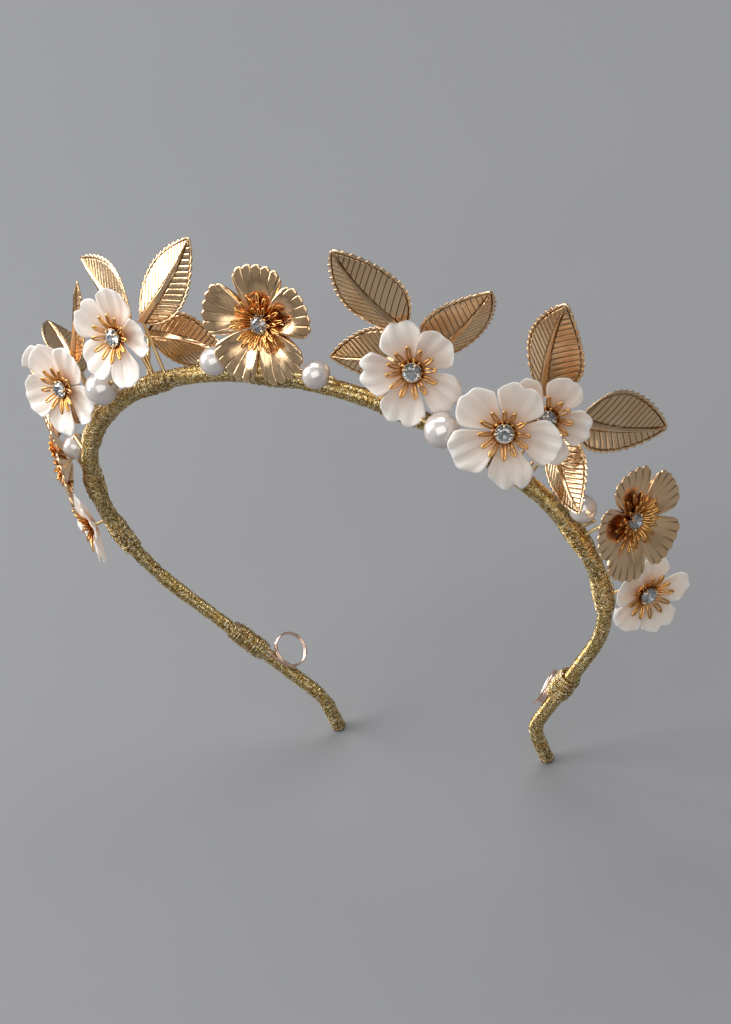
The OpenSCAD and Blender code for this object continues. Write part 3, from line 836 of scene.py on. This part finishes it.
crystal_mesh = cut_crystal()
for name, (place, r) in flower_places.items():
    gold = name in GOLD_FLOWERS
    rng = seeded(name)
    build = Build()
    for k in range(PETALS):
        spin = 360 / PETALS * k + rng.normal(0, 1.2)
        (gold_petal if gold else white_petal)(build, place, spin, r, rng)
    if gold:
        build.piece(name + "_petals", PETAL_GOLD, "gold_petal", replaces=[name])
    else:
        build.piece(name + "_petals", CREAM, "white_petal", replaces=[name])
    build = Build()
    stamen_cup(build, place)
    for ring in GOLD_STAMENS if gold else WHITE_STAMENS:
        count, base, length, rise, shift, width, wire_r, turn_spread, shortest, longest, rise_spread = ring
        for k in range(count):
            spin = 360 * (k + shift) / count + rng.normal(0, turn_spread)
            reach = length * rng.uniform(shortest, longest)
            stamen_loop(build, place, spin, base, reach, width, rise + rng.normal(0, rise_spread), wire_r)
    build.piece(name + "_filaments", STAMEN_GOLD, "stamen_copper_gold", replaces=[name + "_stamens"])
    build = Build()
    build.add(place.out(crystal_mesh[0]), crystal_mesh[1])
    build.piece(name + "_crystal", CRYSTAL, "crystal", replaces=["crystals"], smooth=False)
    build = Build()
    setting(build, place)
    build.piece(name + "_setting", SETTING_GOLD, "setting_gold", replaces=["crystal_settings"])
    build = Build()
    foil_cup(build, place)
    build.piece(name + "_foil", FOIL, "crystal")


# ---------------------------------------------------------------- leaves

FULL_LENGTH = 26.05  # of a leaf at size 1
TEETH, VEINS = 16, 15


def leaf(name):
    """A stamped leaf: serrated rim, border line, ridged midrib and engraved side veins.

    s runs from base to tip, v from one side to the other, and off is the distance from the midrib."""
    place, length, half_width = leaf_place(name)
    size = length / FULL_LENGTH
    rng = seeded(name)
    rows, columns = 176, 81
    s = np.linspace(0, 1, rows)[:, None]
    v = np.linspace(-1, 1, columns)[None, :]
    outline = half_width * np.sin(pi * np.clip(s, 0, 1) ** 0.85) ** 0.8 * (1 - 0.12 * s) / 0.96 + 0.32 * size
    phase = (s * TEETH) % 1.0
    tooth = (phase ** 1.2 - 0.5) * 0.60 * size * np.clip(np.sin(pi * s) * 2.2, 0, 1)
    plain_y, along = v * outline, length * s
    y = plain_y + v * tooth * np.abs(v) ** 6
    x = along + 0.35 * size * bell(1 - np.abs(v), 0.12) * np.clip(np.sin(pi * s) * 3, 0, 1) * phase
    to_edge = (1 - np.abs(v)) * outline
    bow = rng.choice([-1, 1]) * 0.035 * length * np.sin(pi * np.clip(s * 1.05, 0, 1))
    off = np.abs(plain_y - bow) / size
    fold = -1.7 * size * np.abs(v) * np.sin(pi * s)
    arch = 1.6 * size * s * (1 - s)
    sway = rng.uniform(0.1, 0.4) * size
    sway = sway * np.sin(2 * pi * s * rng.uniform(0.8, 1.3) + rng.uniform(0, 6)) * v ** 2
    curl = rng.uniform(0.2, 0.9) * rng.choice([-1, 1]) * size * s ** 7
    rib_width = 0.20 + 1.0 * np.clip(1 - s * 1.08, 0, 1) ** 0.9
    ridge = np.clip(1 - off / rib_width, 0, 1)
    rib = 1.15 * size * ridge * np.clip((1 - s) * 7, 0, 1) * (0.55 + 0.45 * (1 - s))
    slant = (along - 0.95 * off * size + 0.015 * off ** 2) / length
    line = slant * VEINS + np.where(plain_y > bow, 0.0, 0.5)
    inside = np.clip((to_edge - 0.85 * size) / (0.2 * size), 0, 1) * np.clip((off - rib_width) / 0.25, 0, 1)
    vein = bell((line + 0.5) % 1.0 - 0.5, 0.12) * inside
    border = bell(to_edge - 0.80 * size, 0.13 * size) * np.clip((off - rib_width) / 0.3, 0, 1)
    rim = 0.12 * np.clip(1 - to_edge / (0.7 * size), 0, 1) ** 0.5
    puff = 0.025 * np.abs(np.sin(pi * line)) * inside
    z = fold + arch + sway + curl + rib + rim + puff - 0.06 * vein - 0.12 * border
    thick = 0.19 * np.sqrt(np.clip(1 - np.abs(v) ** 24 + 0 * s, 0.06, 1))
    # Painted shade along the border line and in the valley beside the midrib.
    beside_rib = bell(off - rib_width - 0.05, 0.12) * np.clip((1 - s) * 8, 0, 1)
    groove = np.clip(0.9 * border + 0.85 * beside_rib, 0, 1)
    build = Build()
    add_sheet(build, place, 0, x, y, z, thick, groove=groove, line=line, inside=inside)
    build.piece(name + "_blade", LEAF_GOLD, "gold_leaf", replaces=[name])


for name in LEAVES:
    leaf(name)


# ---------------------------------------------------------------- pearls

HOLE_R, LIP = 0.47, 0.12


def pearl(name, centre, axis, body):
    """A drilled bead that is not quite round, with a soft lip at each hole."""
    lo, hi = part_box(name)
    radius = (hi.y - lo.y) / 2 / MM
    start = atan2(HOLE_R + LIP, sqrt(radius ** 2 - (HOLE_R + LIP) ** 2))
    hole_half = radius * cos(start) - 0.1
    profile = [(HOLE_R, -hole_half), (HOLE_R, hole_half)]
    for a in np.linspace(start, pi - start, 60):
        profile.append((radius * sin(a), radius * cos(a)))
    verts, faces = lathe(profile[::-1], 96)
    rng = seeded(name)
    outside = np.hypot(verts[:, 0], verts[:, 1]) > HOLE_R + 0.1
    direction = verts / np.linalg.norm(verts, axis=1)[:, None]
    lumpy = 0
    for _ in range(5):
        height = rng.normal(0, 0.006)
        lumpy = lumpy + height * np.sin(direction @ rng.normal(0, 2.2, 3) + rng.uniform(0, 6))
    verts = verts + outside[:, None] * (lumpy[:, None] - 0.012) * direction
    z = unit(np.array(axis, float))
    x = unit(np.cross(BACK, z))
    place = Place(np.array(centre) / MM, x, np.cross(z, x), z)
    mesh_piece(name + "_drop", place.out(verts), faces, PEARL, "pearl", body=body, replaces=[name])


for joint in frame["joints"]:
    node = joint["child"].replace("_bead", "")
    pearl(node, joint["pos_m"], joint["axis"], joint["child"])


# ---------------------------------------------------------------- CAD nodes that stay

for name, material in (("band_core", STEEL), ("flower_stems", WIRE_GOLD), ("leaf_stems", WIRE_GOLD),
                       ("pearl_wires", WIRE_GOLD)):
    mesh = frame["nodes"][name].data
    mesh.materials.clear()
    mesh.materials.append(material)


# ---------------------------------------------------------------- stage

def backdrop():
    """A wide grey floor with a faint, uneven matt tone."""
    bm = bmesh.new()
    bmesh.ops.create_grid(bm, x_segments=24, y_segments=24, size=3.0)
    mesh = bpy.data.meshes.new("floor")
    bm.to_mesh(mesh)
    bm.free()
    look = Look("floor_paper", Roughness=0.62, Specular_IOR_Level=0.25)
    colour = look.ramp(look.noise(6, 3), (0.2, (0.187, 0.19, 0.197)), (0.8, (0.20, 0.203, 0.21)))
    mesh.materials.append(look.shade(Base_Color=colour))
    floor = bpy.data.objects.new("floor", mesh)
    bpy.context.scene.collection.objects.link(floor)


def area_light(name, place, aim, size, watts):
    """A white soft box that faces a point."""
    light = bpy.data.lights.new(name, "AREA")
    light.shape = "RECTANGLE"
    light.size, light.size_y = size
    light.energy = watts
    item = bpy.data.objects.new(name, light)
    bpy.context.scene.collection.objects.link(item)
    item.location = place
    item.rotation_euler = (Vector(aim) - Vector(place)).to_track_quat("-Z", "Y").to_euler()


backdrop()
middle = (0.0, 0.0, 0.08)
area_light("key", (-0.95, -0.15, 0.70), middle, (0.8, 1.0), 17)
area_light("top", (-0.15, 0.55, 1.10), middle, (1.1, 0.6), 10)
area_light("fill", (0.50, -0.70, 0.95), middle, (1.4, 1.0), 6)
world = bpy.data.worlds.new("studio")
world.use_nodes = True
background = world.node_tree.nodes["Background"]
background.inputs["Color"].default_value = (0.64, 0.635, 0.63, 1)
background.inputs["Strength"].default_value = 0.34
bpy.context.scene.world = world
bpy.context.scene.view_settings.view_transform = "Standard"

camera_data = bpy.data.cameras.new("camera")
camera_data.lens = 120
camera_data.sensor_width = 36
camera_data.clip_start = 0.01
camera = bpy.data.objects.new("camera", camera_data)
bpy.context.scene.collection.objects.link(camera)
# The photograph's viewing direction: the picture's right and down in the frame, and the camera's place.
right = unit(np.array([0.8527, 0.4097, -0.3240]))
down = np.array([0.0988, -0.7356, -0.6702])
down = unit(down - (down @ right) * right)
turn = Matrix(np.array([right, -down, -np.cross(right, down)]).T.tolist())
camera.matrix_world = Matrix.Translation((0.41389, -0.42386, 0.61182)) @ turn.to_4x4()
bpy.context.scene.camera = camera
